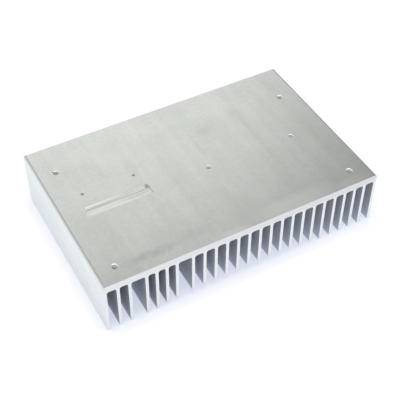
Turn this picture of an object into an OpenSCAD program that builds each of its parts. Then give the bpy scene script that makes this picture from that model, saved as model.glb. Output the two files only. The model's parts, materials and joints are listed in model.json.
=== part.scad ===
// Extruded heat sink: a flat base plate with a comb of cooling fins under it.
// The section is one aluminium extrusion, sawn to length across the fins.
// The flat face is then drilled and tapped for the parts it cools, and one
// shallow pocket is milled into it.
// X runs across the fins, Y along them, and Z is up. The origin is under the
// middle of the block, in the plane that the outer fins stand on.

/* [Block] */
// Length of the sawn piece, along the fins
sink_len = 129; // [122:1:300]
// Height from the outer fins' tips to the flat face
sink_h = 42; // [30:1:80]
// Thickness of the base plate over the channels
base_t = 5.4; // [4.6:0.1:10]
// Radius along the two outer edges of the flat face
edge_r = 1.8; // [0.5:0.1:3]

/* [Fins] */
// Thickness of every fin
fin_t = 2.1; // [1.8:0.1:2.6]
// Radius on the two edges of each fin's tip
tip_r = 0.8; // [0.2:0.05:0.85]
// Fillet where a fin runs into the base plate
root_r = 1.6; // [0.5:0.1:2]
// Half the width of the flat arch that the inner fins' tips lie on
arch_half_w = 59.5; // [40:0.5:80]
// How far the middle fins stop short of the outer ones
arch_rise = 5.4; // [1:0.1:10]

/* [Channels] */
// Channel beside each outer fin
end_gap = 6.4; // [5:0.05:7.5]
// Channels that hold the corner screws, and those next to them
screw_gap = 5.7; // [5:0.05:7.5]
// Wide channels at each end of the pocket
wide_gap = 9.35; // [8:0.05:11]
// Closely spaced channels under the pocket
narrow_gap = 4.85; // [4.2:0.05:6]
// Number of closely spaced channels
narrow_count = 3; // [1:2:5]
// Common channels, over the rest of the width
common_gap = 6.05; // [5:0.05:7.5]
// Number of common channels
common_count = 13; // [11:1:16]

/* [Tapped holes] */
// Drilled size of the corner holes, ready for an M4 thread
corner_bore_d = 3.3; // [2.5:0.1:4.2]
// Outer size of the countersink on the corner holes
corner_sink_d = 4.7; // [4.4:0.1:5.4]
// Distance from the front end to the front pair of corner holes
front_margin = 12.3; // [8:0.1:20]
// Distance between the corner holes on the pocket's side
pocket_side_pitch = 91.6; // [60:0.1:100]
// Distance between the corner holes on the far side
far_side_pitch = 86.7; // [60:0.1:100]
// Drilled size of the middle holes, ready for an M3 thread
middle_bore_d = 2.5; // [2:0.1:3]
// Outer size of the countersink on the middle holes
middle_sink_d = 3.6; // [3.2:0.1:4.4]
// Distance from the front end to the middle holes
middle_from_front = 60; // [40:0.5:80]
// How far the middle and far holes sit towards the pocket in their channels
drill_shift = 0.7; // [0:0.1:0.9]

/* [Pocket] */
// Length of the milled pocket, across the fins
pocket_l = 46.2; // [38:0.1:52]
// Width of the pocket, along the fins
pocket_w = 9.2; // [8:0.1:14]
// Depth of the pocket below the flat face
pocket_depth = 0.8; // [0.5:0.1:3.8]
// Distance from the front end to the middle of the pocket
pocket_from_front = 61.1; // [40:0.1:80]
// Corner radius that the cutter leaves in the pocket
pocket_r = 1.6; // [1:0.1:3]
// Diameter of the plain holes behind the pocket
pin_d = 2.4; // [1.5:0.1:3]
// Distance between the two plain holes
pin_pitch = 36.9; // [34:0.1:39]
// Distance from the pocket's middle line back to the plain holes
pin_setback = 16.2; // [12:0.1:20]
// Depth of the blind hole in the pocket's floor, drilled for the same screw as the middle holes
floor_hole_depth = 3.2; // [2:0.1:3.2]
// Least metal between that hole and the pocket's walls
floor_hole_margin = 0.3; // [0.2:0.1:2]

/* [Hidden] */
$fn = 48;

// How far a cutting shape runs past the face that it opens
over = 1;

// Channel widths from left to right
side_gaps = [end_gap, screw_gap, wide_gap];
narrow_gaps = [for (i = [1 : narrow_count]) narrow_gap];
far_gaps = [screw_gap, screw_gap, screw_gap, end_gap];
common_gaps = [for (i = [1 : common_count]) common_gap];
gaps = concat(side_gaps, narrow_gaps, [wide_gap], common_gaps, far_gaps);
gap_count = len(gaps);
fin_count = gap_count + 1;

// Width across all the fins
sink_w = total(gaps) + fin_count * fin_t;

// Which channels the arch, the holes and the pocket line up with
near_screw_index = 1;
pocket_index = len(side_gaps) + (narrow_count - 1) / 2;
arch_index = len(side_gaps) + narrow_count + 5;
middle_index = arch_index + 1;
far_middle_index = gap_count - 4;
far_screw_index = gap_count - 2;

// Plane of the channel roots
root_z = sink_h - base_t;

// Distances along the fins, from the middle of the block
front_y = -sink_len / 2;
front_hole_y = front_y + front_margin;
middle_y = front_y + middle_from_front;
pocket_y = front_y + pocket_from_front;
pin_y = pocket_y + pin_setback;

function total(list, i = 0) = i < len(list) ? list[i] + total(list, i + 1) : 0;

// Left side of channel i, and its middle
function gap_left(i) = i == 0 ? fin_t - sink_w / 2 : gap_left(i - 1) + gaps[i - 1] + fin_t;
function gap_mid(i) = gap_left(i) + gaps[i] / 2;

// Left side and middle of fin i
function fin_left(i) = i == 0 ? -sink_w / 2 : gap_left(i - 1) + gaps[i - 1];
function fin_mid(i) = fin_left(i) + fin_t / 2;

// Middle of the pocket, across the fins
pocket_x = gap_mid(pocket_index);

// From the pocket's walls to the middle of the blind hole, which is in line with the corner's radius
floor_hole_inset = max(pocket_r, middle_bore_d / 2 + floor_hole_margin);

// Height of a fin's tip at x: on a half ellipse over the arch, and zero outside it
function tip_z(x) =
    let (u = (x - gap_mid(arch_index)) / arch_half_w)
    abs(u) < 1 ? arch_rise * sqrt(1 - u * u) : 0;

// A bar w wide and h high on its middle line, with its two upper corners rounded
module round_topped(w, h, r) {
    translate([-w / 2, 0])
        square([w, h - r]);
    translate([r - w / 2, 0])
        square([w - 2 * r, h]);
    for (side = [-1, 1])
        translate([side * (w / 2 - r), h - r])
            circle(r);
}

// One fin, from its rounded tip up into the base plate
module fin_section(i) {
    tip = tip_z(fin_mid(i));
    translate([fin_mid(i), root_z + base_t / 2])
        mirror([0, 1])
            round_topped(fin_t, root_z + base_t / 2 - tip, tip_r);
}

// The two fillets at the root of channel i
module root_fillets(i) {
    translate([gap_mid(i), root_z - root_r])
        difference() {
            translate([-gaps[i] / 2, 0])
                square([gaps[i], root_r]);
            translate([0, -over])
                round_topped(gaps[i], root_r + over, root_r);
        }
}

// Section of the extrusion, seen from the front end
module section() {
    translate([0, root_z])
        round_topped(sink_w, base_t, edge_r);
    for (i = [0 : fin_count - 1])
        fin_section(i);
    for (i = [0 : gap_count - 1])
        root_fillets(i);
}

// The extrusion, sawn square at both ends
module extrusion() {
    rotate([90, 0, 0])
        linear_extrude(height = sink_len, center = true)
            section();
}

// A hole through the base plate with a 90 degree countersink
module tapped_hole(bore_d, sink_d) {
    depth = (sink_d - bore_d) / 2;
    translate([0, 0, root_z - over])
        cylinder(h = base_t + 2 * over, d = bore_d);
    translate([0, 0, sink_h - depth])
        cylinder(h = depth + over, d1 = bore_d, d2 = sink_d + 2 * over);
}

// The screw holes: one pair at each side, one pair on the middle line
module tapped_holes() {
    for (y = [front_hole_y, front_hole_y + pocket_side_pitch])
        translate([gap_mid(near_screw_index), y, 0])
            tapped_hole(corner_bore_d, corner_sink_d);
    for (y = [front_hole_y, front_hole_y + far_side_pitch])
        translate([gap_mid(far_screw_index) - drill_shift, y, 0])
            tapped_hole(corner_bore_d, corner_sink_d);
    for (i = [middle_index, far_middle_index])
        translate([gap_mid(i) - drill_shift, middle_y, 0])
            tapped_hole(middle_bore_d, middle_sink_d);
}

// The plain holes, which come out in the wide channels
module pin_holes() {
    for (side = [-1, 1])
        translate([pocket_x + side * pin_pitch / 2, pin_y, root_z - over])
            cylinder(h = base_t + 2 * over, d = pin_d);
}

// The milled pocket, with the cutter's radius in its corners
module pocket() {
    translate([pocket_x, pocket_y, sink_h - pocket_depth])
        linear_extrude(height = pocket_depth + over) {
            square([pocket_l - 2 * pocket_r, pocket_w], center = true);
            square([pocket_l, pocket_w - 2 * pocket_r], center = true);
            for (x = [-1, 1], y = [-1, 1])
                translate([x * (pocket_l / 2 - pocket_r), y * (pocket_w / 2 - pocket_r)])
                    circle(pocket_r);
        }
}

// The blind hole in the far back corner of the pocket's floor
module floor_hole() {
    x = pocket_x + pocket_l / 2 - floor_hole_inset;
    y = pocket_y + pocket_w / 2 - floor_hole_inset;
    depth = pocket_depth + floor_hole_depth;
    translate([x, y, sink_h - depth])
        cylinder(h = depth + over, d = middle_bore_d);
}

// The whole sink, one piece of metal
module heat_sink() {
    color("#c9cdca")
        difference() {
            extrusion();
            tapped_holes();
            pin_holes();
            pocket();
            floor_hole();
        }
}

heat_sink();
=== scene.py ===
import json
import math

import bmesh
import bpy
from mathutils import Matrix, Vector


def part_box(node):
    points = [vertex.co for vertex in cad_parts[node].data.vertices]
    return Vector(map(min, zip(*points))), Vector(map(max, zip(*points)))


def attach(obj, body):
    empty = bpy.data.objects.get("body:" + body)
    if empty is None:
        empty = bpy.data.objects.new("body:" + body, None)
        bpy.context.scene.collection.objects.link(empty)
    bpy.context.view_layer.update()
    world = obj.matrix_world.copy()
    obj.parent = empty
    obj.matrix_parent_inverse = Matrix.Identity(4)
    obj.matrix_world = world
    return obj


# Extruded aluminium heat sink on a pale table.
# Everything is in metres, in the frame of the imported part: X across the fins,
# Y along them, Z up, with the origin under the middle of the block.

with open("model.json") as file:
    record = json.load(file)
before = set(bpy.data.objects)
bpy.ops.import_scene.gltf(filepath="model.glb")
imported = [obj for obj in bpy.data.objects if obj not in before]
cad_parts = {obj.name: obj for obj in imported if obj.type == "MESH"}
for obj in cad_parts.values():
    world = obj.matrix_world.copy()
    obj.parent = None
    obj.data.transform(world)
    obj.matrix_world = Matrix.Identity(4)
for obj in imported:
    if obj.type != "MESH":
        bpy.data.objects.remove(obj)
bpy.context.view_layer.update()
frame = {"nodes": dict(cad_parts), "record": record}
print("frame loaded:", sorted(frame["nodes"]))

mm = 0.001
sinkLow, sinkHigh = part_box("heat_sink")
sinkMiddle = (sinkLow + sinkHigh) / 2
flatFace = sinkHigh.z


def hexToLinear(code):
    # sRGB hex colour to the linear values that the shaders use, by the sRGB curve
    values = [int(code[i:i + 2], 16) / 255 for i in (1, 3, 5)]
    linear = [v / 12.92 if v <= 0.04045 else ((v + 0.055) / 1.055) ** 2.4 for v in values]
    return (*linear, 1.0)


def addNode(tree, kind, inputs=None, out=0, **settings):
    # one shader node: its settings, its inputs as plain values or links, and the output in use
    node = tree.nodes.new(kind)
    for name, value in settings.items():
        setattr(node, name, value)
    for name, value in (inputs or {}).items():
        if isinstance(value, bpy.types.NodeSocket):
            tree.links.new(value, node.inputs[name])
        else:
            node.inputs[name].default_value = value
    return node.outputs[out] if node.outputs else None


def newMaterial(name):
    material = bpy.data.materials.new(name)
    material.use_nodes = True
    material.node_tree.nodes.clear()
    return material, material.node_tree


# the camera

cameraSettings = {
    "lens": 81.54,            # mm, on a sensor this many mm wide
    "sensor": 36.0,
    "azimuth": -28.99,        # degrees, 0 looks along +Y
    "elevation": 46.30,       # degrees above the table
    "roll": 0.29,             # degrees
    "distance": 614.1 * mm,
    "aim": (-4.9 * mm, -10.9 * mm, 0.0),   # from the middle of the block
}


def makeCamera(s):
    data = bpy.data.cameras.new("studioCamera")
    data.lens = s["lens"]
    data.sensor_width = s["sensor"]
    camera = bpy.data.objects.new("studioCamera", data)
    bpy.context.scene.collection.objects.link(camera)
    azimuth, elevation = math.radians(s["azimuth"]), math.radians(s["elevation"])
    forward = Vector((
        -math.sin(azimuth) * math.cos(elevation),
        math.cos(azimuth) * math.cos(elevation),
        -math.sin(elevation),
    ))
    aim = sinkMiddle + Vector(s["aim"])
    level = forward.to_track_quat("-Z", "Y").to_matrix().to_4x4()
    camera.matrix_world = (
        Matrix.Translation(aim - forward * s["distance"])
        @ level
        @ Matrix.Rotation(math.radians(s["roll"]), 4, "Z")
    )
    bpy.context.scene.camera = camera


makeCamera(cameraSettings)
print("camera placed")


# the light: a pale room with a window behind, a darker ceiling and a bright wall in front

lightSettings = {
    "roomTint": "#fcfefb",            # the room's light, next to neutral
    "roomLevel": 0.78,
    # round patches of the room, each over the last: way to its middle, level,
    # and the degrees from its middle where it begins and where it is full
    "roomPatches": [
        ((0.55, 0.35, 0.76), 0.14, 75.0, 38.0),      # the ceiling, dark, up and to the right
        ((0.28, 0.757, 0.591), 1.11, 23.7, 0.0),     # the window behind
        ((0.15, -0.80, 0.58), 1.02, 75.0, 35.0),     # the pale wall in front
    ],
    "lampTint": "#fff8ee",            # a large lamp overhead, for the table
    "lampPower": 50.0,                # watts
    "lampSize": 1.0,                  # metres
    "lampPlace": (-0.05, 0.0, 2.1),
}


def makeRoom(s):
    world = bpy.data.worlds.new("paleRoom")
    bpy.context.scene.world = world
    world.use_nodes = True
    tree = world.node_tree
    tree.nodes.clear()
    way = addNode(tree, "ShaderNodeTexCoord", out="Generated")
    level = s["roomLevel"]
    for middle, patchLevel, begins, full in s["roomPatches"]:
        near = addNode(tree, "ShaderNodeVectorMath", {0: way, 1: Vector(middle).normalized()},
                       out="Value", operation="DOT_PRODUCT")
        share = addNode(tree, "ShaderNodeMapRange",
                        {"Value": near, "From Min": math.cos(math.radians(begins)),
                         "From Max": math.cos(math.radians(full))},
                        out="Result", interpolation_type="SMOOTHSTEP")
        level = addNode(tree, "ShaderNodeMix", {"Factor": share, "A": level, "B": patchLevel},
                        out="Result", data_type="FLOAT")
    light = addNode(tree, "ShaderNodeBackground",
                    {"Color": hexToLinear(s["roomTint"]), "Strength": level})
    addNode(tree, "ShaderNodeOutputWorld", {"Surface": light})


def makeLamp(s):
    data = bpy.data.lights.new("softLamp", "AREA")
    data.shape = "SQUARE"
    data.size = s["lampSize"]
    data.energy = s["lampPower"]
    data.color = hexToLinear(s["lampTint"])[:3]
    lamp = bpy.data.objects.new("softLamp", data)
    bpy.context.scene.collection.objects.link(lamp)
    lamp.location = s["lampPlace"]
    lamp.rotation_euler = (sinkMiddle - lamp.location).to_track_quat("-Z", "Y").to_euler()
    lamp.visible_glossy = False       # the metal mirrors the room, not the lamp


makeRoom(lightSettings)
makeLamp(lightSettings)

bpy.context.scene.view_settings.view_transform = "Standard"
print("light set")


# the table

tableSettings = {
    "size": 8.0,              # metres across
    "colour": "#fdf8ef",      # the matt card, a little warm
    "roughness": 0.9,
    "seenGlow": "#e5ecff",    # what the card shows the eye by itself, cool, so its shadow is too
    "seenShare": 0.70,        # and how much of what is seen that is; the rest is lit card
    "mirrorGlow": "#d8e7fb",  # the same for what the metal mirrors of it
    "mirrorShare": 0.70,
    "grainSize": 3.0,         # mm, the faint tooth of white card
    "grainDetail": 2.0,
    "grainStrength": 0.05,
    "grainDepth": 0.02,       # mm
}


def makeTable(s):
    # matt white card: no sheen, with a tooth too faint to see except in the shadow
    material, tree = newMaterial("whiteCard")
    place = addNode(tree, "ShaderNodeTexCoord", out="Object")
    tooth = addNode(tree, "ShaderNodeTexNoise",
                    {"Vector": place, "Scale": 1 / (s["grainSize"] * mm),
                     "Detail": s["grainDetail"]})
    bump = addNode(tree, "ShaderNodeBump",
                   {"Height": tooth, "Strength": s["grainStrength"],
                    "Distance": s["grainDepth"] * mm})
    card = addNode(tree, "ShaderNodeBsdfPrincipled",
                   {"Base Color": hexToLinear(s["colour"]), "Roughness": s["roughness"],
                    "Specular IOR Level": 0.0, "Normal": bump})
    path = addNode(tree, "ShaderNodeLightPath").node.outputs
    mirrored = addNode(tree, "ShaderNodeMath",
                       {0: path["Is Glossy Ray"], 1: path["Is Transmission Ray"]},
                       operation="MAXIMUM")
    for share, glow, ray in ((s["seenShare"], s["seenGlow"], path["Is Camera Ray"]),
                             (s["mirrorShare"], s["mirrorGlow"], mirrored)):
        shown = addNode(tree, "ShaderNodeEmission",
                        {"Color": hexToLinear(glow), "Strength": 1.0})
        factor = addNode(tree, "ShaderNodeMath", {0: ray, 1: share}, operation="MULTIPLY")
        card = addNode(tree, "ShaderNodeMixShader", {0: factor, 1: card, 2: shown})
    addNode(tree, "ShaderNodeOutputMaterial", {"Surface": card})
    half = s["size"] / 2
    mesh = bpy.data.meshes.new("table")
    corners = [(-half, -half), (half, -half), (half, half), (-half, half)]
    mesh.from_pydata([(x, y, sinkLow.z) for x, y in corners], [], [(0, 1, 2, 3)])
    mesh.materials.append(material)
    table = bpy.data.objects.new("table", mesh)
    bpy.context.scene.collection.objects.link(table)


makeTable(tableSettings)
print("table laid")


# where the block was cut, read from its mesh and its mounts

cutSettings = {
    "pocketDepth": 0.8,       # mm below the flat face, the plane of the pocket's floor
    "planeSlack": 0.02,       # mm either side of that plane
    "sideMargin": 5.0,        # mm in from the block's sides, which keeps their edges out of it
    "plateDepth": 5.4,        # mm of metal over the channels
    "unshadedDepth": 1.3,        # mm below the flat face, down to which a screw hole has no painted shade
}

sink = frame["nodes"]["heat_sink"]
pocketFloor = flatFace - cutSettings["pocketDepth"] * mm
rootPlane = flatFace - cutSettings["plateDepth"] * mm
unshadedDepth = cutSettings["unshadedDepth"] * mm


def findPocket(s):
    # the pocket is what lies in the plane of its floor
    slack, widest = s["planeSlack"] * mm, sinkHigh.x - s["sideMargin"] * mm
    points = [v.co for v in sink.data.vertices if abs(v.co.z - pocketFloor) < slack]
    points = [p for p in points if abs(p.x) < widest]
    low = Vector((min(p.x for p in points), min(p.y for p in points), pocketFloor))
    high = Vector((max(p.x for p in points), max(p.y for p in points), flatFace))
    return low, high


def findHoles(kinds=("bolt_pattern", "threaded_hole")):
    # every screw and pin hole: its name, its middle in the plane of its mount, its radius,
    # and where it ends, which is in a channel unless the mount says how long it is
    found = []
    for mount in frame["record"]["mounts"]:
        if mount["kind"] not in kinds:
            continue
        dims, middle = mount["dims"], Vector(mount["pos_m"])
        radius = dims.get("hole_r_mm", dims.get("r_mm")) * mm
        floor = middle.z - dims["length_mm"] * mm if "length_mm" in dims else rootPlane
        spacing = Vector((dims.get("spacing_x_mm", 0), dims.get("spacing_y_mm", 0), 0)) * mm
        ends = [middle - spacing / 2, middle + spacing / 2] if spacing.length else [middle]
        found += [(mount["name"], end, radius, floor) for end in ends]
    return found


pocketLow, pocketHigh = findPocket(cutSettings)
holes = findHoles()
print("pocket", [round(v / mm, 2) for v in (*pocketLow, *pocketHigh)], "holes", len(holes))


# the metal: what it is on each surface, how it was worked, how it has worn, and where shade and
# highlights are painted on it

metalSettings = {
    "faceColour": "#f2f3f1",       # flat face and sides, as extruded and handled
    "cloudColour": "#dbe0dc",      # the duller clouds of oxide on it,
    "warmColour": "#dfdfdc",       # warmer here and there
    "stainColour": "#d4d6d4",      # smears on the flat face
    "brightColour": "#fbfbf9",     # bare metal in a scratch and a countersink and on brighter patches, and painted highlight on the worn sawn edges and the pocket's end
    "browColour": "#eff1f0",       # the two rounded edges, dulled by handling
    "sawnColour": "#f7f8f8",       # fresh sawn fin ends
    "sawnShade": "#d3d4d6",        # the saw marks across them
    "plateLeft": "#f3f1f2",        # the sawn base plate's end,
    "plateRight": "#e5e2e0",       # darker towards the right, which is painted shade
    "cutColour": "#f9fbf8",        # milled and drilled metal, with darker lines where
    "cutShade": "#d4d6d3",         # the cutter tore it
    "boreShadeColour": "#d2d4d3",       # the same, darker down the screw holes, which is painted shade
    "paleHoleColour": "#dddddb",      # the plain holes' walls, painted pale and matt to lighten them
    "channelLeft": "#c6c8cf",      # painted shade between the fins, darker than the face,
    "channelRight": "#d5d7de",     # lighter towards the right, painted too,
    "rootColour": "#54565d",       # and darkest at their roots, also painted shade
    "roughFace": 0.30,
    "roughSawn": 0.46,
    "roughCut": 0.28,
    "roughSink": 0.16,             # countersinks, cut clean
    "roughBore": 0.80,             # the torn walls of a drilled hole
    "roughChannel": 0.75,
    "roughStain": 0.40,
    "roughBrow": 0.48,
    "roughSpread": 0.024,          # how much the dull patterns change the flat face's
    "sawShare": 0.40,              # how much of the saw marks' shade shows
    "edgeRound": 0.22,             # mm, every cut edge catches the light over this much,
    "pocketRound": 0.30,           # the pocket's corners over a little more,
    "pinRound": 0.50,              # the rims of the plain holes over more still
    "sinkRound": 0.08,             # and those of the clean countersinks over less
    "edgeSamples": 8,
    # noise at the sizes of what the metal shows: mm across, the scale along X, Y and Z,
    # detail, and the two levels of it that turn to 0 and 1
    "patterns": {
        "cloud": (26.0, (1.0, 1.0, 1.0), 5.0, (0.35, 0.65)),     # clouds of dull oxide
        "streak": (5.0, (1.0, 0.03, 1.0), 3.0, (0.35, 0.70)),    # broad streaks from the die
        "speck": (2.6, (1.0, 1.0, 1.0), 3.0, (0.35, 0.70)),      # small stains
        "grit": (0.8, (1.0, 1.0, 1.0), 2.0, (0.30, 0.70)),       # grain, coarser than the real
        "warm": (14.0, (1.0, 1.0, 1.0), 4.0, (0.40, 0.60)),      # warmer spots
        "ragged": (7.0, (1.0, 1.0, 1.0), 4.0, (0.25, 0.60)),     # what breaks up a smear
        "broken": (1.5, (1.0, 1.0, 1.0), 2.0, (0.35, 0.60)),     # and a scratch
        # die lines, cutter marks and saw marks: too fine to show, so drawn coarser
        "dieLine": (0.55, (1.0, 0.008, 1.0), 2.0, (0.0, 1.0)),
        "mill": (1.2, (0.03, 1.0, 1.0), 1.0, (0.40, 0.60)),
        "saw": (0.8, (1.0, 1.0, 1.0), 3.0, (0.35, 0.65)),
    },
    "patternRoughness": 0.55,
    "sawSlope": 12.0,              # degrees that the saw marks lean
    # how much each pattern adds to the dullness of the flat face
    "dullShares": {"cloud": 0.30, "streak": 0.20, "speck": 0.25, "grit": 0.25},
    # relief of a pattern: the surface it is on, its strength, and its depth in mm
    "relief": {
        "dieLine": ("notSawn", 0.35, 0.004),
        "saw": ("sawn", 0.5, 0.006),
        "mill": ("cut", 0.5, 0.010),
    },
    # dull smears on the flat face, in mm from the middle of the block:
    # place, half length and width, strength
    "smears": [
        ((-62.0, -54.0), (26.0, 5.0), 0.65),
        ((-30.0, -52.0), (16.0, 6.0), 0.30),
        ((49.0, 8.0), (2.2, 52.0), 0.20),
        ((47.0, 34.0), (8.0, 12.0), 0.25),
        ((8.0, 18.0), (2.5, 20.0), 0.20),
        ((20.0, 28.0), (9.0, 7.0), 0.25),
        ((-40.0, 20.0), (4.0, 12.0), 0.12),
        ((88.0, -20.0), (6.0, 30.0), 0.15),
    ],
    # brighter patches on the flat face, in the same way
    "brightPatches": [
        ((40.0, -60.5), (42.0, 11.0), 0.85),
        ((-10.0, -63.0), (20.0, 4.0), 0.6),
        ((82.0, -62.0), (20.0, 7.0), 0.8),
    ],
    # fine scratches, and one painted highlight: both ends, in mm, and the width
    "scratchesAndGlints": [
        ((4.8, 20.8), (7.2, 3.1), 0.30),
        ((-89.5, 56.0), (-98.0, 41.0), 0.35),
        ((-70.0, 44.0), (-61.0, 51.0), 0.22),
        ((30.0, -22.0), (44.0, -31.0), 0.22),
        ((63.0, 47.0), (66.0, 30.0), 0.20),
        ((-34.0, -33.0), (-25.0, -44.0), 0.22),
        ((-14.0, 50.0), (-3.0, 53.0), 0.20),
        ((74.0, -38.0), (81.0, -30.0), 0.20),
        ((-57.0, -61.5), (-52.0, -55.0), 0.25),
        ((-53.0, -62.0), (-46.5, -55.5), 0.28),
        ((-48.5, -62.5), (-44.0, -58.0), 0.22),
        ((-22.0, -61.0), (-15.0, -56.5), 0.22),
        ((31.0, -62.0), (38.0, -58.5), 0.25),
        ((70.0, -60.5), (76.0, -62.5), 0.25),
        ((-84.2, 1.4), (-84.2, -8.2), 0.65),     # a painted highlight on the pocket's left edge
    ],
    "smearCore": 0.2,              # the share of a smear's reach that is full,
    "smearDepth": 2.0,             # and the mm up and down that it reaches
    "lineCore": 0.3,            # the share of a line's width that is full
    "wornGlintWidth": 0.45,             # mm beside the sawn edges that are worn and carry a painted highlight,
    "wornGlintShare": 0.7,              # and how bright that is
    # where each surface begins and where it is full, in what makeMasks measures it in
    "surfaces": {
        "atEnd": (0.2, 0.1),           # mm in from the sawn ends
        "beside": (0.3, 0.6),          # mm in from the outer fins' outer sides,
        "browSide": (2.0, 1.4),        # as far as the rounded edges go,
        "inside": (3.5, 4.0),          # and clear of them
        "browTop": (3.5, 1.5),         # mm down from the flat face, to where they go
        "atFace": (0.3, 0.1),          # what is in the flat face,
        "underFace": (0.02, 0.06),     # what is below it,
        "shallow": (0.90, 0.75),       # and no deeper than the countersinks
        "nearRoots": (2.8, 0.0),       # mm down from the channels' roots, over which their painted shade fades in
        "underPlate": (0.6, 0.2),      # mm up from them, all that is lower,
        "overRoots": (0.2, 0.6),       # all that is higher,
        "plate": (-0.6, 0.3),          # and the plate's own sawn end
        "pocketLong": (0.1, 0.05),     # mm out from the ends of the pocket
        "pocketWide": (0.1, 0.05),     # and from its long sides
        "deep": (1.0, 2.0),            # in unshaded depths down from the flat face
        "rightward": (0.0, 1.0),       # in widths of the block, from its left side
        "endFace": (0.85, 0.95),       # how much a face looks to either end, from 0 to 1,
        "level": (0.97, 0.99),         # how much it looks up,
        "upright": (0.5, 0.3),         # how little,
        "leftFacing": (-0.4, -0.8),    # and how much to the right
    },
    "pinReach": 0.05,              # mm around the plain holes that are like their walls
    "sinkReach": 0.85,             # mm around the screw holes that their countersinks take
    "rimFade": 1.1,                # where either has faded out, in the same reach
}


def axisMask(tree, place, middle, full, gone):
    # 1 within the distance full of an upright line through the middle of a hole, 0 beyond gone
    flat = addNode(tree, "ShaderNodeVectorMath", {0: place, 1: (1.0, 1.0, 0.0)},
                   operation="MULTIPLY")
    far = addNode(tree, "ShaderNodeVectorMath", {0: flat, 1: Vector((middle.x, middle.y, 0.0))},
                  out="Value", operation="DISTANCE")
    return addNode(tree, "ShaderNodeMapRange", {"Value": far, "From Min": gone, "From Max": full},
                   out="Result")


def makeMasks(tree, place, s):
    # which surface a spot is on, each mask from 0 to 1, and how far it is endways from the middle
    spot = addNode(tree, "ShaderNodeSeparateXYZ", {"Vector": place}).node.outputs
    normal = addNode(tree, "ShaderNodeNewGeometry", out="True Normal")
    facing = addNode(tree, "ShaderNodeSeparateXYZ", {"Vector": normal}).node.outputs
    side = addNode(tree, "ShaderNodeMath", {0: spot["X"]}, operation="ABSOLUTE")
    end = addNode(tree, "ShaderNodeMath", {0: spot["Y"]}, operation="ABSOLUTE")
    endways = addNode(tree, "ShaderNodeMath", {0: facing["Y"]}, operation="ABSOLUTE")
    pocketMiddle, pocketHalf = (pocketLow + pocketHigh) / 2, (pocketHigh - pocketLow) / 2
    fromPocket = addNode(tree, "ShaderNodeVectorMath", {0: place, 1: pocketMiddle},
                         operation="SUBTRACT")
    fromPocket = addNode(tree, "ShaderNodeVectorMath", {0: fromPocket}, operation="ABSOLUTE")
    fromPocket = addNode(tree, "ShaderNodeSeparateXYZ", {"Vector": fromPocket}).node.outputs
    # what each surface is measured in, from where, and in what unit
    measures = {
        "atEnd": (end, sinkHigh.y, -mm),
        "beside": (side, sinkHigh.x, -mm),
        "browSide": (side, sinkHigh.x, -mm),
        "inside": (side, sinkHigh.x, -mm),
        "browTop": (spot["Z"], flatFace, -mm),
        "atFace": (spot["Z"], flatFace, -mm),
        "underFace": (spot["Z"], flatFace, -mm),
        "shallow": (spot["Z"], flatFace, -mm),
        "nearRoots": (spot["Z"], rootPlane, -mm),
        "underPlate": (spot["Z"], rootPlane, mm),
        "overRoots": (spot["Z"], rootPlane, mm),
        "plate": (spot["Z"], rootPlane, mm),
        "pocketLong": (fromPocket["X"], pocketHalf.x, mm),
        "pocketWide": (fromPocket["Y"], pocketHalf.y, mm),
        "deep": (spot["Z"], flatFace, -unshadedDepth),
        "rightward": (spot["X"], sinkLow.x, sinkHigh.x - sinkLow.x),
        "endFace": (endways, 0.0, 1.0),
        "level": (facing["Z"], 0.0, 1.0),
        "upright": (facing["Z"], 0.0, 1.0),
        "leftFacing": (facing["X"], 0.0, 1.0),
    }
    masks = {}
    for name, (measure, start, unit) in measures.items():
        begins, full = s["surfaces"][name]
        masks[name] = addNode(tree, "ShaderNodeMapRange",
                              {"Value": measure, "From Min": start + begins * unit,
                               "From Max": start + full * unit}, out="Result")
    masks["pins"] = masks["sinks"] = 0.0
    for name, middle, bore, _ in holes:
        kind = "pins" if name == "pin_holes" else "sinks"
        reach = (s["pinReach"] if kind == "pins" else s["sinkReach"]) * mm
        hole = axisMask(tree, place, middle, bore + reach, bore + reach * s["rimFade"])
        masks[kind] = addNode(tree, "ShaderNodeMath", {0: hole, 1: masks[kind]},
                              operation="MAXIMUM")
    # and these are where all of several are
    products = {
        "sawn": ("endFace", "atEnd"),
        "channel": ("beside", "underPlate", "notSawn"),
        "rootShade": ("channel", "nearRoots"),
        "brow": ("browSide", "browTop", "notSawn"),
        "cut": ("underFace", "overRoots", "inside", "notSawn"),
        "pocket": ("cut", "pocketLong", "pocketWide"),
        "bore": ("cut", "upright", "notPocket", "deep"),
        "paleHole": ("cut", "pins"),
        "slope": ("cut", "notPocket", "sinks", "shallow"),
        "endWall": ("pocket", "leftFacing"),
        "top": ("level", "atFace"),
    }
    opposites = {"sawn": "notSawn", "pocket": "notPocket", "paleHole": "notPaleHole"}
    for name, (first, *others) in products.items():
        product = masks[first]
        for other in others:
            product = addNode(tree, "ShaderNodeMath", {0: product, 1: masks[other]},
                              operation="MULTIPLY")
        masks[name] = product
        if name in opposites:
            masks[opposites[name]] = addNode(tree, "ShaderNodeMath", {0: 1.0, 1: product},
                                             operation="SUBTRACT")
    return end, masks


def makePatterns(tree, place, s):
    # the saw marks run across the ends on a slope, and the rest is noise in the block
    lean = math.tan(math.radians(s["sawSlope"]))
    spot = addNode(tree, "ShaderNodeSeparateXYZ", {"Vector": place}).node.outputs
    climb = addNode(tree, "ShaderNodeMath", {0: spot["X"], 1: lean, 2: spot["Z"]},
                    operation="MULTIPLY_ADD")
    sawLine = addNode(tree, "ShaderNodeCombineXYZ", {"Z": climb})
    patterns = {}
    for name, (size, stretch, detail, (low, high)) in s["patterns"].items():
        source = sawLine if name == "saw" else place
        stretched = addNode(tree, "ShaderNodeVectorMath", {0: source, 1: stretch},
                            operation="MULTIPLY")
        noise = addNode(tree, "ShaderNodeTexNoise",
                        {"Vector": stretched, "Scale": 1 / (size * mm), "Detail": detail,
                         "Roughness": s["patternRoughness"]})
        patterns[name] = addNode(tree, "ShaderNodeMapRange",
                                 {"Value": noise, "From Min": low, "From Max": high},
                                 out="Result")
    return patterns


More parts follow.
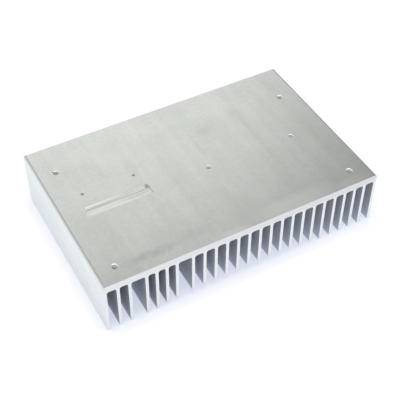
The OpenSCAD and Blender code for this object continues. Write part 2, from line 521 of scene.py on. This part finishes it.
def smearMask(tree, place, middle, half, s):
    # 1 in the middle of an oval on the flat face, fading to 0 at its rim
    centre = Vector((middle[0] * mm, middle[1] * mm, flatFace))
    reach = (1 / (half[0] * mm), 1 / (half[1] * mm), 1 / (s["smearDepth"] * mm))
    moved = addNode(tree, "ShaderNodeVectorMath", {0: place, 1: centre}, operation="SUBTRACT")
    scaled = addNode(tree, "ShaderNodeVectorMath", {0: moved, 1: reach}, operation="MULTIPLY")
    far = addNode(tree, "ShaderNodeVectorMath", {0: scaled}, out="Value", operation="LENGTH")
    return addNode(tree, "ShaderNodeMapRange",
                   {"Value": far, "From Min": 1.0, "From Max": s["smearCore"]},
                   out="Result", interpolation_type="SMOOTHSTEP")


def lineMask(tree, place, start, finish, width, s):
    # 1 on the line from start to finish on the flat face, 0 beside it
    first = Vector((start[0] * mm, start[1] * mm, flatFace))
    along = Vector((finish[0] * mm, finish[1] * mm, flatFace)) - first
    moved = addNode(tree, "ShaderNodeVectorMath", {0: place, 1: first}, operation="SUBTRACT")
    share = addNode(tree, "ShaderNodeVectorMath", {0: moved, 1: along / along.length_squared},
                    out="Value", operation="DOT_PRODUCT")
    share = addNode(tree, "ShaderNodeClamp", {"Value": share})
    foot = addNode(tree, "ShaderNodeVectorMath", {0: along, "Scale": share}, operation="SCALE")
    apart = addNode(tree, "ShaderNodeVectorMath", {0: moved, 1: foot},
                    out="Value", operation="DISTANCE")
    return addNode(tree, "ShaderNodeMapRange",
                   {"Value": apart, "From Min": width * mm,
                    "From Max": width * mm * s["lineCore"]}, out="Result")


def makeDirt(tree, place, masks, patterns, s):
    # dull smears that hands and rags left on the flat face
    dirt = 0.0
    for middle, half, strength in s["smears"]:
        smear = smearMask(tree, place, middle, half, s)
        smear = addNode(tree, "ShaderNodeMath", {0: smear, 1: strength}, operation="MULTIPLY")
        dirt = addNode(tree, "ShaderNodeMath", {0: smear, 1: dirt}, operation="MAXIMUM")
    for mask in (patterns["ragged"], masks["top"]):
        dirt = addNode(tree, "ShaderNodeMath", {0: dirt, 1: mask}, operation="MULTIPLY")
    return dirt


def makeBright(tree, place, end, masks, patterns, s):
    # bare metal and painted highlights: scratches, brighter patches, a painted highlight on the
    # pocket's end, and a line beside the sawn edges that is worn metal with a painted highlight
    bright = 0.0
    for start, finish, width in s["scratchesAndGlints"]:
        line = lineMask(tree, place, start, finish, width, s)
        bright = addNode(tree, "ShaderNodeMath", {0: line, 1: bright}, operation="MAXIMUM")
    bright = addNode(tree, "ShaderNodeMath", {0: bright, 1: patterns["broken"]},
                     operation="MULTIPLY")
    for middle, half, strength in s["brightPatches"]:
        brightPatch = smearMask(tree, place, middle, half, s)
        brightPatch = addNode(tree, "ShaderNodeMath", {0: brightPatch, 1: strength}, operation="MULTIPLY")
        bright = addNode(tree, "ShaderNodeMath", {0: brightPatch, 1: bright}, operation="MAXIMUM")
    # a worn line beside the sawn edges, with a painted highlight on it
    rim = addNode(tree, "ShaderNodeMapRange",
                  {"Value": end, "From Min": sinkHigh.y - s["wornGlintWidth"] * mm,
                   "From Max": sinkHigh.y, "To Max": s["wornGlintShare"]}, out="Result")
    bright = addNode(tree, "ShaderNodeMath", {0: bright, 1: rim}, operation="MAXIMUM")
    return addNode(tree, "ShaderNodeMath", {0: bright, 1: masks["top"]}, operation="MULTIPLY")


def makeRelief(tree, masks, patterns, s):
    # rounded edges, then die lines, saw marks and the cutter's marks
    radius = s["edgeRound"] * mm
    for name, size in (("pocket", "pocketRound"), ("pins", "pinRound"), ("sinks", "sinkRound")):
        radius = addNode(tree, "ShaderNodeMix",
                         {"Factor": masks[name], "A": radius, "B": s[size] * mm},
                         out="Result", data_type="FLOAT")
    relief = addNode(tree, "ShaderNodeBevel", {"Radius": radius}, samples=s["edgeSamples"])
    for name, (surface, strength, depth) in s["relief"].items():
        height = addNode(tree, "ShaderNodeMath", {0: patterns[name], 1: masks[surface]},
                         operation="MULTIPLY")
        relief = addNode(tree, "ShaderNodeBump",
                         {"Height": height, "Strength": strength, "Distance": depth * mm,
                          "Normal": relief})
    return relief


def makeMillFinish(s):
    # mill-finish extruded aluminium: a dull satin, with faint die lines along the fins,
    # bright where a tool has cut it, and with painted shade between the fins and down the holes
    material, tree = newMaterial("millFinishAluminium")
    place = addNode(tree, "ShaderNodeTexCoord", out="Object")
    end, masks = makeMasks(tree, place, s)
    patterns = makePatterns(tree, place, s)
    dull = 0.0
    for name, share in s["dullShares"].items():
        dull = addNode(tree, "ShaderNodeMath", {0: patterns[name], 1: share, 2: dull},
                       operation="MULTIPLY_ADD")
    dirt = makeDirt(tree, place, masks, patterns, s)
    bright = makeBright(tree, place, end, masks, patterns, s)
    tones = {name: hexToLinear(colour) for name, colour in s.items() if name.endswith("Colour")}
    # tones that go from one to another: by what, from, to, where a name is a tone mixed above
    mixes = {
        "clouds": (patterns["warm"], tones["cloudColour"], tones["warmColour"]),
        # the plate's end darker towards the right: painted shade
        "plate": (masks["rightward"], hexToLinear(s["plateLeft"]), hexToLinear(s["plateRight"])),
        "cut": (patterns["mill"], tones["cutColour"], hexToLinear(s["cutShade"])),
        "channel": (masks["rightward"], hexToLinear(s["channelLeft"]),
                    hexToLinear(s["channelRight"])),
        "face": (dull, tones["faceColour"], "clouds"),
        "sawn": (masks["plate"], tones["sawnColour"], "plate"),
    }
    for name, (share, first, second) in mixes.items():
        second = tones[second] if isinstance(second, str) else second
        tones[name] = addNode(tree, "ShaderNodeMix", {"Factor": share, "A": first, "B": second},
                              out="Result", data_type="RGBA")
    rough = addNode(tree, "ShaderNodeMapRange",
                    {"Value": dull, "To Min": s["roughFace"] - s["roughSpread"] / 2,
                     "To Max": s["roughFace"] + s["roughSpread"] / 2}, out="Result")
    scored = addNode(tree, "ShaderNodeMath", {0: masks["sawn"], 1: patterns["saw"]},
                     operation="MULTIPLY")
    scored = addNode(tree, "ShaderNodeMath", {0: scored, 1: s["sawShare"]}, operation="MULTIPLY")
    tone = tones["face"]
    # each of these lies over the last: where, colour, roughness
    layers = [
        (masks["brow"], tones["browColour"], s["roughBrow"]),
        (masks["sawn"], tones["sawn"], s["roughSawn"]),
        (scored, hexToLinear(s["sawnShade"]), s["roughSawn"]),
        (masks["cut"], tones["cut"], s["roughCut"]),
        # painted shade down the screw holes
        (masks["bore"], tones["boreShadeColour"], s["roughBore"]),
        # the plain holes' walls, painted pale and matt to lighten them
        (masks["paleHole"], tones["paleHoleColour"], s["roughBore"]),
        (masks["slope"], tones["brightColour"], s["roughSink"]),
        (masks["endWall"], tones["cut"], s["roughBore"]),
        # painted shade between the fins, lighter towards the right
        (masks["channel"], tones["channel"], s["roughChannel"]),
        # painted shade at the channels' roots
        (masks["rootShade"], tones["rootColour"], s["roughChannel"]),
        (dirt, tones["stainColour"], s["roughStain"]),
        # bare metal, with painted highlights beside the sawn edges and on the pocket's end
        (bright, tones["brightColour"], s["roughFace"]),
    ]
    for mask, layerTone, layerRough in layers:
        tone = addNode(tree, "ShaderNodeMix", {"Factor": mask, "A": tone, "B": layerTone},
                       out="Result", data_type="RGBA")
        rough = addNode(tree, "ShaderNodeMix", {"Factor": mask, "A": rough, "B": layerRough},
                        out="Result", data_type="FLOAT")
    metal = addNode(tree, "ShaderNodeBsdfPrincipled",
                    {"Metallic": masks["notPaleHole"], "Base Color": tone, "Roughness": rough,
                     "Normal": makeRelief(tree, masks, patterns, s)})
    addNode(tree, "ShaderNodeOutputMaterial", {"Surface": metal})
    return material


millFinish = makeMillFinish(metalSettings)
sink.data.materials.clear()
sink.data.materials.append(millFinish)
print("metal on")


# threads in the screw holes

threadSettings = {
    "pitchLarge": 0.7,        # mm, M4
    "pitchSmall": 0.5,        # mm, M3
    "largeFrom": 1.5,         # mm of bore radius, from which a hole takes the larger screw
    "crest": 0.42,            # how far the thread stands into the bore, as a share of its pitch,
    "crestHalf": 0.07,        # half the height of its crest,
    "footHalf": 0.48,         # and half the height of its foot
    "sink": 0.05,             # mm that its root lies inside the wall
    "stepsPerTurn": 40,
    "fadeTurns": 0.5,         # turns over which it grows out of the wall at each end
    "tapStart": 0.15,         # mm below the mount's plane
    "cleanColour": "#f0f1f0",
    "tornAndShadedColour": "#b4b7b8",  # torn, and darker lower down the hole, which is painted shade
    "tornSize": 0.4,          # mm across a tear
    "tornDetail": 4.0,
    "tornLevels": (0.4, 0.8),  # the levels of the noise that turn to clean and to torn
    "tornStrength": 0.4,
    "tornDepth": 0.02,        # mm
    "roughClean": 0.22,
    "roughTorn": 0.40,
}


def makeTappedMetal(s):
    # thread cut with a tap: clean bright aluminium, a little torn along its crests, with painted
    # shade lower down the hole
    material, tree = newMaterial("tappedAluminium")
    place = addNode(tree, "ShaderNodeTexCoord", out="Object")
    torn = addNode(tree, "ShaderNodeTexNoise",
                   {"Vector": place, "Scale": 1 / (s["tornSize"] * mm), "Detail": s["tornDetail"]})
    low, high = s["tornLevels"]
    share = addNode(tree, "ShaderNodeMapRange", {"Value": torn, "From Min": low, "From Max": high},
                    out="Result")
    height = addNode(tree, "ShaderNodeSeparateXYZ", {"Vector": place}, out="Z")
    # darker lower down the hole: painted shade
    deep = addNode(tree, "ShaderNodeMapRange",
                   {"Value": height, "From Min": flatFace - unshadedDepth,
                    "From Max": flatFace - unshadedDepth * 2}, out="Result")
    share = addNode(tree, "ShaderNodeMath", {0: share, 1: deep}, operation="MAXIMUM")
    tone = addNode(tree, "ShaderNodeMix",
                   {"Factor": share, "A": hexToLinear(s["cleanColour"]),
                    "B": hexToLinear(s["tornAndShadedColour"])}, out="Result", data_type="RGBA")
    rough = addNode(tree, "ShaderNodeMapRange",
                    {"Value": torn, "To Min": s["roughClean"], "To Max": s["roughTorn"]},
                    out="Result")
    bump = addNode(tree, "ShaderNodeBump",
                   {"Height": torn, "Strength": s["tornStrength"], "Distance": s["tornDepth"] * mm})
    metal = addNode(tree, "ShaderNodeBsdfPrincipled",
                    {"Metallic": 1.0, "Base Color": tone, "Roughness": rough, "Normal": bump})
    addNode(tree, "ShaderNodeOutputMaterial", {"Surface": metal})
    return material


def makeThread(name, middle, radius, low, s, material):
    # a helical ridge on the wall of the bore, from low up to the countersink's foot
    pitch = (s["pitchLarge"] if radius >= s["largeFrom"] * mm else s["pitchSmall"]) * mm
    high = middle.z - s["tapStart"] * mm
    steps = int((high - low - pitch) / pitch * s["stepsPerTurn"])
    fadeSteps = s["stepsPerTurn"] * s["fadeTurns"]
    root, crest = radius + s["sink"] * mm, radius - s["crest"] * pitch
    section = [(root, -s["footHalf"]), (crest, -s["crestHalf"]),
               (crest, s["crestHalf"]), (root, s["footHalf"])]
    mesh = bmesh.new()
    rings = []
    for i in range(steps + 1):
        angle = 2 * math.pi * i / s["stepsPerTurn"]
        climb = low + pitch / 2 + pitch * i / s["stepsPerTurn"]
        fade = min(1.0, i / fadeSteps, (steps - i) / fadeSteps)
        ring = []
        for far, rise in section:
            far = root + (far - root) * fade
            ring.append(mesh.verts.new((middle.x + far * math.cos(angle),
                                        middle.y + far * math.sin(angle),
                                        climb + rise * pitch)))
        rings.append(ring)
    for a, b in zip(rings, rings[1:]):
        for k in range(len(section) - 1):
            mesh.faces.new((a[k], a[k + 1], b[k + 1], b[k]))
    bmesh.ops.recalc_face_normals(mesh, faces=mesh.faces)
    data = bpy.data.meshes.new(name)
    mesh.to_mesh(data)
    mesh.free()
    data.materials.append(material)
    piece = bpy.data.objects.new(name, data)
    bpy.context.scene.collection.objects.link(piece)
    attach(piece, "root")


tappedMetal = makeTappedMetal(threadSettings)
for number, (name, middle, bore, floor) in enumerate(holes, 1):
    if name != "pin_holes":
        makeThread(f"thread_{number}_{name}", middle, bore, floor, threadSettings, tappedMetal)
print("threads cut")
